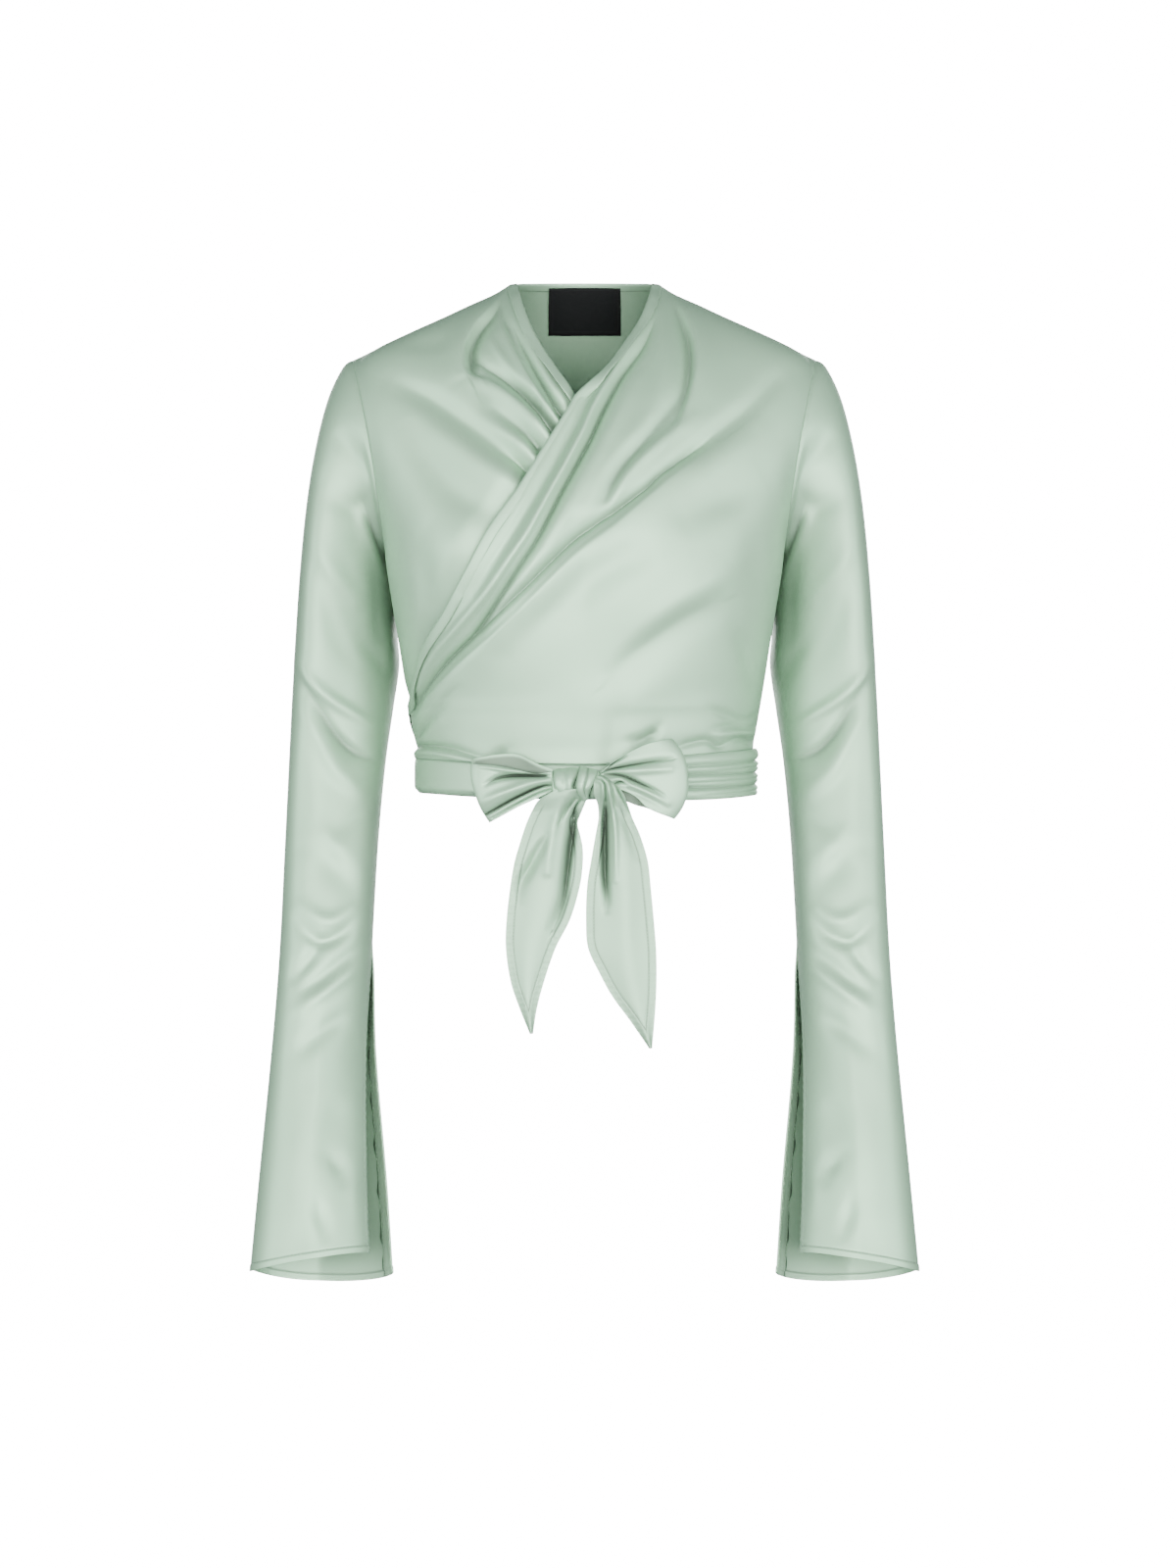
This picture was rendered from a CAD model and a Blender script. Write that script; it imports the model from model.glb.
"""A mint green satin wrap top, as if worn, seen from the front. Tables and lengths are in millimetres in
the part's frame: +X is the viewer's right, -Y the front and +Z up, from the middle of the neck."""

import math

import bmesh
import bpy
import numpy as np
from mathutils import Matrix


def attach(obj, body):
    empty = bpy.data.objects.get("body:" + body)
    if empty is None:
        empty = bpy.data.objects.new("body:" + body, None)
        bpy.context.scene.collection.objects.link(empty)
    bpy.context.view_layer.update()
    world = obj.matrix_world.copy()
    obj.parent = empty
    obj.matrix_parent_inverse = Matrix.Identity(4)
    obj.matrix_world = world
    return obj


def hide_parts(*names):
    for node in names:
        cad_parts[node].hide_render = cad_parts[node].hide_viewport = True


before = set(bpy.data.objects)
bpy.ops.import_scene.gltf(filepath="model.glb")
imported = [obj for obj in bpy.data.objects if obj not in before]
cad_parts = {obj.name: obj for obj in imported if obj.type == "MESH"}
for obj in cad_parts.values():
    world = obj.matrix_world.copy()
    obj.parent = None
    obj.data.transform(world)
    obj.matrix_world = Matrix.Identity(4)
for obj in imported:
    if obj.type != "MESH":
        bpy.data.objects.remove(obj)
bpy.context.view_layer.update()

MM = 0.001
# The thickness of the satin, of a binding, of a facing, of the ties and of a waistband
CLOTH, BINDING_CLOTH, FACING_CLOTH, TIE_CLOTH, BAND_CLOTH = 0.7, 0.4, 0.45, 0.6, 0.9
# Heights: the panels' hem, the underarm, the shoulder's tip, the neck, where the fronts cross, and where the
# over front's edge reaches the side
HEM_Z, UNDERARM_Z, TIP_Z, NECK_Z, CROSS_Z, WRAP_SIDE_Z = -379.2, -212.0, -53.6, 7.0, -90.0, -337.0
BAND_HEIGHT, BINDING = 27.5, 8.0
# How far the over front stands off, the under front dips, the sides tuck in, and the wrap goes past the side
OVER_LIFT, UNDER_DIP, SIDE_TUCK, WRAP_PAST = 4.0, 7.0, 2.7, 22.0
ARMHOLE_X, ARMHOLE_LEAN, ARMHOLE_BOW, ARMHOLE_DEPTH = 175.4, 13.2, 3.0, 58.0
NECK_RISE, HEM_DIP = 5.8, 5.0
# How far each panel goes past the shoulder seam, and how far cloth turns in at a seam
SEAM_Y, SEAM_TURN = 0.4, 0.7
SLEEVE_HEM, SLIT_HEM, TAIL_HEM = 5.5, 6.5, 6.2
# The sleeve's length, and where its slit starts to open and where its trims start, as shares of that length
SLEEVE_LENGTH, SLIT_START, SLIT_TOP = 745.0, 0.66, 0.67
# How far the sleeve's top edge turns in, and how far it goes inside the armhole
SLEEVE_TUCK, SLEEVE_INTO_BODY = 0.9, 2.4
LABEL_LOW, LABEL_TOP, LABEL_HALF = -27.0, 5.3, 30
KNOT_MIDDLE, KNOT_HALF, KNOT_DEPTH, KNOT_HEIGHT = (-6.8, -114.8, -399.8), 18.6, 11.2, 12.6
BOW_Y, LOOP_GAP, LOOP_OPEN = -116.5, 2.4, 12.0
# Where a fold fades out, in its own widths
FADE = 2.2, 3.2
# How dark the creases are on each piece, from 0 to 1
OVER_SHADE, UNDER_SHADE, SLEEVE_SHADE, SASH_SHADE, TAIL_SHADE = 0.5, 0.6, 0.85, 0.7, 0.75


def smooth(x, a, b):
    t = np.clip((x - a) / (b - a), 0, 1)
    return t * t * (3 - 2 * t)


def mix(a, b, t):
    return a + (b - a) * t


class Table:
    """Rows of named numbers, read as smooth curves of the first column, which rises."""

    def __init__(self, names, rows):
        self.names = names.split()
        self.rows = np.array(rows, float)

    def __call__(self, name, at):
        key, value = self.rows[:, 0], self.rows[:, self.names.index(name)]
        last = len(key) - 1
        step = np.arange(last + 1)
        before, after = np.maximum(step - 1, 0), np.minimum(step + 1, last)
        slope = (value[after] - value[before]) / (key[after] - key[before])
        at = np.clip(at, key[0], key[-1])
        i = np.clip(np.searchsorted(key, at, side="right") - 1, 0, last - 1)
        span = key[i + 1] - key[i]
        t = (at - key[i]) / span
        rise = value[i + 1] - value[i]
        bend = (slope[i] * span - rise) * (1 - t) - (slope[i + 1] * span - rise) * t
        return value[i] + rise * t + t * (1 - t) * bend


# The half width of the sides below the arms and of the shoulders above them, and the section's depths in
# front and behind, with how square it is
SIDE = Table("z half", [
    (-410, 136.5), (-380, 137), (-366, 138), (-350, 141), (-320, 146), (-280, 152), (-240, 158),
    (UNDERARM_Z, 162.2)])
SHOULDER = Table("z half", [
    (TIP_Z, 188.5), (-41, 159.6), (-17, 106.6), (-9, 88.4), (-3.5, 75), (0, 67.8), (3, 64.6), (NECK_Z, 61.2),
    (14, 58)])
DEPTH = Table("z front back square", [
    (-410, 95, 82, 2.3), (-384, 97, 83, 2.3), (-352, 101, 85, 2.3), (-300, 108, 91, 2.4),
    (-250, 113, 97, 2.6), (-212, 113, 101, 2.8), (-170, 108, 105, 2.8), (-130, 98, 106, 2.8),
    (-92, 84, 104, 2.9), (TIP_Z, 66, 92, 3.2), (-28, 49, 78, 3.8), (-4, 31, 58, 2.8), (NECK_Z, 22, 51, 2.3),
    (14, 20, 49, 2.3)])
# The x of the two fronts' free edges
EDGES = Table("z over under", [
    (WRAP_SIDE_Z, -143.6, 141), (-320, -137, 135), (-286, -123.8, 122), (-259, -106.8, 107),
    (-233, -92.8, 93), (-197, -73.8, 73), (-165, -51.3, 51), (-133, -31.8, 27), (-101, -12.3, 3),
    (CROSS_Z, -5.8, -6.3), (-65, 19.1, -24.3), (-45, 33.2, -37), (-27, 44.4, -45.6), (-5, 53, -53),
    (NECK_Z, 56, -56)])
# The sleeve's sections, from the armhole at 0 to the hem at 1: the outer point, the inner one and the depths
SLEEVE = Table("s xo zo yo xi zi yi front back", [
    (0.0, 188.5, -53.6, 0, 162.2, -212, 0, 58, 58), (0.03, 197, -60.5, 1, 160, -222, 17, 61, 59),
    (0.07, 208.3, -84, 2, 156, -238, 33, 63, 59), (0.12, 217.5, -119, 2, 154.5, -256, 45, 63, 57),
    (0.18, 225, -164, 1, 155, -276, 46, 62, 54), (0.26, 231, -222, 0, 153.3, -302, 46, 59, 52),
    (0.36, 236, -296, 0, 157.7, -338, 34, 54, 52), (0.46, 239.6, -368, -2, 163.5, -384, 18, 49, 51),
    (0.57, 243, -448, -10, 169, -452, 0, 47, 49), (0.68, 246.6, -536, -24, 173.4, -540, -20, 46, 48),
    (0.78, 251.9, -612, -38, 177, -614, -34, 46, 48), (0.9, 260.7, -712, -56, 175.5, -706, -54, 47, 50),
    (1.0, 267.4, -790, -70, 172.5, -774, -68, 48, 52)])
# How the slit opens: how far each edge stands from the middle, how far the back edge goes out and down, and
# how far the hem rises in front and dips behind
SLIT = Table("s apart out drop rise dip", [
    (0, 0, 0, 0, 0, 0), (SLIT_START, 0, 0, 0, 0, 0), (0.7, 2.4, 2.8, 1, 0.4, 0.7), (0.78, 7, 7.5, 4, 2, 3),
    (0.9, 16, 15, 13, 4, 8), (1.0, 25, 17.2, 20, 5.5, 12)])
# The gathered tie's middle and half height, by the angle round the waist
SASH = Table("angle z half", [
    (7, -400, 9), (20, -397, 15), (40, -394.5, 18.2), (90, -389.8, 18.6), (180, -390, 18.2),
    (236, -391, 16.5), (247, -393, 13.5)])

# Folds in the front view. A row has its widths on the right and left of the way it runs, how sharp its crest
# is, from 0 to 1, and the points (x, z, height) that it passes. A hollow's height is below 0.
OVER_FOLDS = [
    # the pleat from the shoulder's neck end: its lip, and the hollow on its neck side
    (2.2, 17, 0, ((72.9, -4.3, 1), (81.1, -24.1, 3.2), (87.2, -41.1, 4.2), (88.9, -56.1, 4.6),
        (88, -74.1, 4), (83, -94.5, 2.6), (77.8, -110.6, 1.2), (73, -120.3, 0.4))),
    (9, 2.4, 0.3, ((71.2, -4.4, -1), (78.7, -24.1, -3.6), (84, -41.1, -4.8), (85.8, -56.1, -5.4),
        (84.4, -74.1, -5), (79.5, -92.9, -3.6), (73.1, -109, -1.5))),
    (11, 9, 0, ((56.6, -21.8, 0.6), (62.6, -45.4, 2.2), (62.4, -74.2, 2.4), (52.8, -102.7, 1.4),
        (40.2, -122.8, 0.6))),
    # the soft hollow that goes on from it to the crossing
    (7, 7, 0.25, ((81.2, -84.7, -0.6), (65.3, -105.9, -3.2), (48, -126.9, -4.2), (32.3, -145.2, -5),
        (23, -158.7, -5), (16.7, -172.2, -3.6), (13.6, -182.4, -1))),
    (5, 6, 0, ((85.7, -108.9, 0.6), (68.3, -122, 2), (51.1, -136.4, 3.2), (36.2, -151.6, 3.6),
        (26.8, -165.9, 3.2), (21.4, -178.5, 1.6))),
    (9, 9, 0, ((52.8, -110.7, 0.5), (33.9, -130.9, 1.8), (14.4, -158.7, 2.4), (1.2, -182.3, 1.6))),
    # the long crease from the armhole to the left side
    (9, 8, 0.1, ((160.5, -68.6, -0.5), (148.4, -80.4, -1.8), (128.3, -101.9, -3.4), (108.4, -118.3, -4.2),
        (90.2, -133, -3.6), (72.9, -145.1, -1.2))),
    (6, 2.4, 0.7, ((98.1, -126.5, -1), (88.6, -133.8, -3.4), (72.9, -145.1, -5.6), (58.8, -155.6, -6.4),
        (49.4, -165.1, -6.8), (36.1, -175.4, -7), (23.7, -184.8, -7), (10.5, -193.3, -6.6),
        (-8.9, -208.2, -6.4), (-28.3, -227, -6.2), (-43.8, -242.5, -6), (-59.4, -257.1, -5.4),
        (-70.4, -267.8, -4.4), (-81.4, -279.3, -2))),
    (3, 20, 0, ((108.3, -128, 0.4), (80.7, -149, 1.8), (55.6, -169.9, 2.6), (26, -195, 2.6),
        (-5, -217.5, 2.6), (-37.6, -249.4, 2.4), (-65.7, -277.1, 2.2), (-98.9, -306.2, 2.4),
        (-126.6, -336.9, 2), (-137, -353.9, 1))),
    # the crease beside the edge, the roll on its edge side and the shallow hollow by the binding
    (2.6, 4.6, 0.8, ((56.5, -26, -0.8), (51.7, -37.9, -2.8), (46.1, -49.6, -4.2), (36.5, -63.6, -5.4),
        (27.9, -76.7, -6.4), (20, -91.4, -7), (12.1, -107.5, -7.4), (5.9, -122, -7.4),
        (-1.2, -136.4, -7.4), (-9, -151.5, -7.2), (-18.3, -169, -7.2), (-26.8, -186.4, -7.2),
        (-37.6, -207.6, -7.2), (-51.6, -229.3, -7.2), (-64.8, -250.1, -7.4), (-75, -265.5, -7.6),
        (-86.1, -280.8, -7.4), (-95.6, -289.9, -7), (-110, -303.7, -6.6), (-122.3, -317.4, -6),
        (-131.4, -329.7, -5), (-138.4, -338.9, -4))),
    (4.4, 3.4, 0, ((50.2, -27.8, 0.6), (43.8, -39.6, 2), (31.9, -57.1, 3.2), (21.6, -73.5, 3.8),
        (12.9, -89, 4.2), (5.1, -104.3, 4.2), (-1.2, -119.6, 4.2), (-9, -134.8, 4.2), (-16.7, -150, 4.2),
        (-26.1, -166.7, 4.2), (-35.3, -184, 4.2), (-45.4, -202.9, 4), (-59.4, -223.9, 3.8),
        (-72.6, -243.9, 3.6), (-83.6, -258.4, 3.4), (-98.7, -276, 3.2), (-113.1, -291.9, 2.8),
        (-124.6, -308.8, 2.2), (-133, -324.2, 1.4))),
    (4.5, 4.5, 0, ((29.5, -57.1, -0.6), (16.1, -75.1, -2.4), (3.5, -93, -3), (-5.1, -110.8, -3.2),
        (-14.4, -128.5, -3.2), (-23.8, -146, -3), (-33.8, -164.3, -3), (-43.9, -181.7, -2.8),
        (-56.3, -202.1, -2.4), (-70.2, -224.6, -2), (-82.8, -244.6, -1.2))),
    (6, 10, 0, ((38.8, -80, 0.6), (26.2, -105.9, 1.8), (12.1, -133.2, 2.6), (-3.5, -161.8, 2.6),
        (-19.8, -190.2, 2.4), (-34.5, -212.2, 1.6), (-50, -234, 0.8))),
    # broad hollows and swells of the lower front
    (15, 15, 0, ((58.6, -213.8, -0.6), (38.4, -220.8, -2.4), (10.5, -233.1, -3.4), (-12.8, -252.5, -3.4),
        (-33.8, -271, -2.8), (-58, -294.1, -1))),
    (9, 16, 0.1, ((102.5, -255.8, -0.8), (80.5, -267, -3.2), (58.7, -282.5, -4), (41.6, -295.7, -3.2),
        (23, -312.8, -1))),
    (14, 14, 0, ((140.5, -157.3, -0.8), (111.9, -172.4, -2.8), (80.4, -187, -1.6))),
    (10, 12, 0, ((113.4, -223.9, 0.6), (91.4, -239.8, 2.6), (68, -257.1, 1.6), (41.6, -275.6, 0.6))),
    (8, 9, 0, ((118.6, -274.8, -0.5), (128.5, -293.9, -2.4), (136.4, -320.9, -2))),
    (16, 16, 0, ((80.8, -306.4, 0.5), (41.7, -326.7, 2), (2.7, -334.5, 1.2))),
    (12, 12, 0, ((136, -117.7, 0.6), (116.1, -135.8, 1.8), (93.1, -155.3, 1))),
    (14, 12, 0, ((137.3, -196.6, -0.4), (134.3, -227.8, -1.8), (129.7, -258.9, -0.6))),
    # creases towards the left side, under the long one
    (3.5, 5, 0.4, ((-100.6, -323.3, -0.6), (-118.4, -343.3, -2.6), (-130.1, -356.5, -3),
        (-135.4, -365.1, -1.6))),
    (5, 5, 0, ((-115.2, -348.9, 0.6), (-126.8, -362.1, 1.6), (-133.7, -369.9, 1))),
    # puckers above the waistband
    (2.2, 3.2, 0.5, ((-139.6, -372, -3.6), (-131.9, -369.1, -4.6), (-118.6, -368.5, -4.4),
        (-104.1, -370.1, -3.8), (-91.3, -373.3, -2.4), (-78.7, -376.5, -0.8))),
    (3.4, 3.4, 0, ((-139.6, -376, 2.6), (-123.6, -373.2, 3), (-105.7, -374.8, 2.6), (-88.2, -378.1, 1.4),
        (-77.1, -380.4, 0.5))),
    (5, 5, 0.1, ((-59.8, -368.7, -1), (-66.1, -373.4, -4.2), (-74, -377.3, -1.6))),
    (4.5, 4.5, 0.2, ((57.4, -353.1, -1.6), (52.7, -358.6, -5.4), (44.9, -361.7, -3),
        (33.9, -362.5, -0.8))),
    (9, 9, 0, ((26.1, -314.3, -0.3), (24.6, -349.3, -1.8), (19.9, -381.3, -2.2))),
    (2.4, 3.4, 0.4, ((74.7, -367.1, -0.8), (85.8, -364.8, -3), (98.5, -363.9, -3.2), (107.3, -368.6, -3.8),
        (114.5, -366.9, -1.6))),
    (2.4, 3, 0.5, ((116.2, -365.3, -1), (126, -362.9, -3.6), (136.3, -365, -3.4), (143.6, -361.6, -2))),
    (3, 3, 0.2, ((104.8, -354.5, -0.6), (119.3, -352.7, -2.4), (132.6, -354.1, -2), (142.8, -350.4, -1))),
    (3.4, 4, 0.1, ((98.3, -338.9, -0.4), (114.4, -345, -2.2), (129.2, -348.6, -1.8),
        (143.6, -342.4, -0.8))),
    (3, 3, 0, ((103.2, -359.2, 0.6), (119.4, -358.2, 2), (140.1, -357.7, 1.4))),
]
UNDER_FOLDS = [
    # the pleat from the shoulder's neck end: its lip, and the hollow on its neck side
    (15, 2.2, 0, ((-68.1, -2.8, 1), (-78.1, -18, 3), (-87.4, -29.2, 3.8), (-93.1, -39.3, 4.4),
        (-96.9, -49.4, 4.8), (-97.2, -59.3, 4.6), (-96.3, -68.3, 4), (-93.1, -74.9, 2))),
    (2.4, 8, 0.3, ((-65.6, -4.8, -1), (-74.1, -19.8, -3.8), (-82.6, -31, -5), (-88, -40.2, -5.8),
        (-91.8, -49.4, -6.4), (-92.4, -58.5, -6.2), (-90.8, -66.7, -4.6), (-86.8, -71.7, -2))),
    # the crease that it turns into, under a rounded ridge
    (3.2, 5.5, 0.5, ((-88.5, -58.6, -1.5), (-78.2, -66, -3.4), (-67.1, -73.4, -4.8), (-54.5, -83.2, -6),
        (-41.9, -95.4, -7), (-31.7, -107.6, -8), (-23.8, -117.2, -8.4))),
    (7, 3.6, 0, ((-94.7, -73.2, 0.8), (-78.1, -79.1, 3.2), (-61.5, -89.7, 4.8), (-46.6, -102.7, 5.4),
        (-34.8, -115.6, 5.6), (-26.1, -126.1, 5.2))),
    (5, 4.4, 0.2, ((-70.8, -101, -1), (-59.8, -109.1, -3), (-48, -118.8, -4.8), (-36.3, -130.9, -6))),
    (6, 6, 0, ((-78.6, -109, 0.6), (-64.5, -118.8, 2.4), (-51.9, -128.5, 3.6), (-39.4, -141.2, 4))),
    # the crease beside the binding
    (2.6, 3, 0.6, ((-56.5, -32, -1), (-50.8, -45.4, -3.2), (-46.4, -55.4, -4), (-38.9, -70.2, -4.8),
        (-31, -84.1, -5.8), (-23.1, -96.3, -6.8), (-16.8, -104.3, -7.2))),
    (5, 3, 0, ((-62.8, -35.3, 1.2), (-56.3, -53.8, 2.6), (-47.5, -71.8, 3.6), (-36.4, -89.8, 4.6),
        (-27, -103.5, 5.4), (-21.5, -110, 5.2))),
    (3.4, 3.6, 0, ((-46.1, -38.7, 0.8), (-38.9, -57.1, 1.8), (-29.4, -75.9, 2.4), (-17.6, -93, 2.4))),
    (3.4, 4, 0.2, ((-67.8, -14.7, -1), (-62.8, -28.6, -2.8), (-57.9, -42.1, -2.4), (-52.3, -55.4, -1))),
    (3.6, 4.4, 0.1, ((-76.1, -41.1, 0.8), (-68.1, -55.4, 2.2), (-56.9, -70.2, 2.4), (-44.3, -84.9, 1.6))),
    # the wide hollow over the chest
    (10, 8, 0.15, ((-154.8, -76.2, -0.8), (-140.4, -83.1, -3), (-122.8, -91.6, -4.6), (-99, -108, -5.6),
        (-79.3, -122.7, -5.8), (-61.2, -136.4, -5.8), (-50.3, -145.2, -5.8), (-43.2, -151.6, -5.8))),
    (2.6, 2.6, 0.8, ((-67.5, -133.2, -0.5), (-56.5, -140.4, -2.4), (-48.7, -146, -3.8),
        (-42.4, -152.4, -4.4))),
    (10, 10, 0, ((-135.4, -101.7, 0.6), (-105.1, -126.4, 2.4), (-76.8, -147.5, 3), (-54.9, -160.3, 2.6))),
    (13, 13, 0, ((-143.3, -106.3, -0.6), (-128.7, -135.5, -2.8), (-106.4, -164.6, -4),
        (-84.4, -178.4, -3.4), (-65.6, -184, -1.4))),
    (14, 14, 0, ((-131.2, -53.2, 0.6), (-115.1, -73.8, 1.8), (-96.1, -87.9, 1.4))),
    (16, 16, 0, ((-123.7, -197.1, 0.4), (-104.7, -210.1, 1.6), (-84.3, -213.6, 0.8))),
    (10, 12, 0, ((-128.5, -212.5, -0.4), (-122.3, -243.7, -2), (-125.9, -282.3, -2.6),
        (-134.7, -321, -2))),
    (8, 8, 0, ((-149.1, -44, -0.4), (-136.2, -46.2, -1.6), (-117.2, -44.9, -1.2))),
]
BACK_FOLDS = [
    (24, 24, 0, ((-130, -120, -0.5), (-100, -220, -3), (-30, -340, -1))),
    (24, 24, 0, ((130, -120, -0.5), (100, -220, -3), (30, -340, -1))),
    (26, 20, 0, ((-90, -90, -0.5), (0, -120, -1.6), (90, -90, -0.5))),
    (14, 14, 0, ((-60, -240, 0.5), (-44, -300, 2), (-20, -372, 0.8))),
    (14, 14, 0, ((64, -230, 0.5), (50, -300, 2), (26, -372, 0.8))),
    (7, 8, 0.1, ((-118, -356, 1), (0, -360, 3), (118, -356, 1))),
    (6, 5, 0.3, ((-118, -345, -0.5), (-60, -350, -1.4), (-8, -346, -0.5))),
    (6, 5, 0.3, ((118, -345, -0.5), (60, -348, -1.4), (16, -345, -0.5))),
]
# Folds of the wearer's left sleeve; the other is its mirror image
SLEEVE_FOLDS = [
    # the armhole's soft creases
    (9, 6, 0.1, ((203.2, -114.3, -0.5), (196.9, -123, -1.8), (188.3, -132.4, -2.4), (180.4, -140.3, -2.4),
        (171.7, -148.1, -1.6))),
    (9, 9, 0, ((192.1, -98.1, 0.3), (182.7, -110.6, 1), (173.3, -123.2, 0.8))),
    (8, 8, 0, ((168.6, -163.1, -0.6), (177.3, -171.7, -2), (188.4, -176.4, -2.2), (201.8, -170.9, -1.6),
        (210.5, -159.9, -0.4))),
    (4, 4.5, 0.3, ((178, -172.1, -1.4), (171.9, -190.9, -4), (164.8, -210.3, -4), (160.5, -226, -2))),
    (7, 7, 0, ((170.4, -215, -1), (166.9, -241.8, -3.4), (165.6, -270.2, -3.4), (163.5, -289.2, -1))),
    # the upper arm's soft folds
    (8, 7, 0, ((217.8, -204, 0.5), (202.1, -230, 2.2), (184.7, -251.3, 1.4))),
    (8, 8, 0, ((221, -222.1, -0.6), (211.7, -251.3, -2), (202.3, -279.7, -1.4), (189.7, -298.6, -0.6))),
    (6, 7, 0, ((181.7, -282.8, -0.6), (169.1, -297, -2.6), (161.9, -308.9, -3.4), (158.7, -322.4, -1.6))),
    # the elbow's creases
    (5, 8, 0.3, ((234.8, -308.1, -1), (224.4, -326.4, -3.2), (214.1, -343, -4.6), (202.9, -358.9, -5.4),
        (189.5, -371.5, -5.4), (176, -378.6, -3.6), (167.3, -382.6, -1.6))),
    (5, 5, 0, ((234, -298.6, 1), (219.7, -317.7, 3.2), (203, -332.7, 3.6), (184, -345.4, 2.6),
        (168.9, -354.1, 1))),
    (8, 7, 0, ((227.5, -339.8, 1), (212.4, -362, 2.8), (200.5, -387.3, 3.4), (184.6, -403.2, 2),
        (170.4, -412.6, 0.8))),
    (9, 9, 0, ((227.4, -376.3, -1), (228.8, -415.8, -2.2), (227.1, -447.4, -1))),
    (8, 8, 0, ((175.1, -417.4, -0.6), (186.1, -428.5, -2), (198.7, -436.3, -1))),
    # the forearm's folds
    (12, 12, 0, ((212.9, -453.7, -0.6), (201.7, -466.3, -2.2), (188.9, -480.4, -1.6))),
    (8, 9, 0, ((181.1, -472.6, 0.6), (193.9, -456.9, 2.2), (206.6, -441.1, 1.4))),
    (4, 6, 0.1, ((185.4, -511, -1), (195.5, -522, -3.2), (210.4, -527.4, -4), (222.3, -522, -2.8),
        (232.7, -510.2, -1))),
    (6, 5, 0, ((188.7, -500.8, 1.2), (201.2, -508.7, 2.4), (213.8, -507.1, 2.2), (226.5, -497.7, 1))),
    (5, 6, 0.1, ((212, -529, -1), (222, -542.3, -3.4), (232.9, -555.5, -2))),
    (6, 6, 0, ((178.9, -530.5, -1), (192.9, -542.3, -2.8), (209.3, -556.3, -3.2), (223.4, -564.9, -1.6))),
    (6, 7, 0, ((181.9, -547.7, 1.4), (196, -555.5, 3), (211.5, -568, 3.4), (227.1, -580.4, 1.6))),
    (8, 8, 0, ((189.4, -583.5, -1), (203.4, -593.6, -3.2), (220.6, -606.8, -2), (231.4, -617.7, -0.6))),
    # the flare's folds
    (12, 12, 0, ((192, -648.7, -0.8), (198.1, -665.6, -2.6), (202.5, -688.8, -1.6))),
    (6, 7, 0, ((204, -694.9, -0.6), (196.1, -703.4, -3), (191.4, -713.4, -1.6))),
    (6, 6, 0, ((213.1, -728.8, -0.8), (209.8, -742.6, -2.4), (205, -756.4, -1))),
    (14, 14, 0, ((221.7, -650.2, 0.6), (227.4, -696.5, 2.4), (230.1, -742.6, 1.6))),
    (5, 5, 0, ((181.3, -704.1, 0.5), (183.5, -723.4, 1.4), (181.8, -742.6, 0.6))),
]


def curve_through(points, pieces=6):
    """A smooth line through points, with the given number of pieces between each two."""
    p = np.array(points, float)
    p = np.vstack([2 * p[0] - p[1], p, 2 * p[-1] - p[-2]])
    t = np.linspace(0, 1, pieces, endpoint=False)[:, None]
    spans = []
    for a, b, c, d in zip(p, p[1:], p[2:], p[3:]):
        squared, cubed = 2 * a - 5 * b + 4 * c - d, 3 * b - a - 3 * c + d
        spans.append(0.5 * (2 * b + (c - a) * t + squared * t ** 2 + cubed * t ** 3))
    return np.vstack([*spans, p[-2:-1]])


def fold_height(rows, x, z):
    """The total height of a table of folds at points of the front view."""
    total = np.zeros_like(x)
    for on_right, on_left, sharp, points in rows:
        line = curve_through(points)
        reach = FADE[1] * max(on_right, on_left)
        near = (x > line[:, 0].min() - reach) & (x < line[:, 0].max() + reach)
        near &= (z > line[:, 1].min() - reach) & (z < line[:, 1].max() + reach)
        if not near.any():
            continue
        px, pz = x[near], z[near]
        best = np.full(px.shape, np.inf)
        side, height = np.zeros(px.shape), np.zeros(px.shape)
        for (ax, az, ah), (bx, bz, bh) in zip(line, line[1:]):
            dx, dz = bx - ax, bz - az
            share = np.clip(((px - ax) * dx + (pz - az) * dz) / (dx * dx + dz * dz), 0, 1)
            ex, ez = px - ax - share * dx, pz - az - share * dz
            far = np.hypot(ex, ez)
            closer = far < best
            best = np.where(closer, far, best)
            side = np.where(closer, ex * dz - ez * dx, side)
            height = np.where(closer, mix(ah, bh, share), height)
        d = best / np.where(side > 0, on_right, on_left)
        rounded, pointed = np.exp(-d * d), np.exp(-1.25 * (np.sqrt(d * d + 0.02) - 0.14))
        total[near] += height * mix(rounded, pointed, sharp) * (1 - smooth(d, *FADE))
    return total


def crease_shade(rows, x, z, start=0.8, end=6.0, slim=0.75):
    """How dark a table's sharp creases are, from 0 at the depth start to 1 at the depth end."""
    sharp = [(right * slim, left * slim, edge, points) for right, left, edge, points in rows if edge > 0.15]
    return smooth(-fold_height(sharp, x, z), start, end)


def averaged(grid, reach, axis):
    """Each value's average with its neighbours on both sides, as far as reach."""
    size = grid.shape[axis]
    ends = [(reach, reach) if k == axis else (0, 0) for k in (0, 1)]
    wide = np.pad(grid, ends, "edge")
    return sum(wide.take(range(step, step + size), axis) for step in range(2 * reach + 1)) / (2 * reach + 1)


def crowded(x, z, rows, columns, pull=3.5):
    """Shares of each row's width that crowd its columns where folds are steep, from a finer even grid."""
    height = fold_height(rows, x, z)
    slope = np.abs(np.gradient(height, axis=1)) / np.maximum(np.abs(np.gradient(x, axis=1)), 0.15)
    weight = 1 + pull * np.minimum(slope, 1.2)
    for _ in range(6):
        weight = averaged(averaged(weight, 2, 0), 5, 1)
    total = np.cumsum(weight, axis=1) - weight[:, :1]
    even = np.linspace(0, 1, x.shape[1])
    return np.array([np.interp(np.linspace(0, 1, columns + 1), row / row[-1], even) for row in total])


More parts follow.
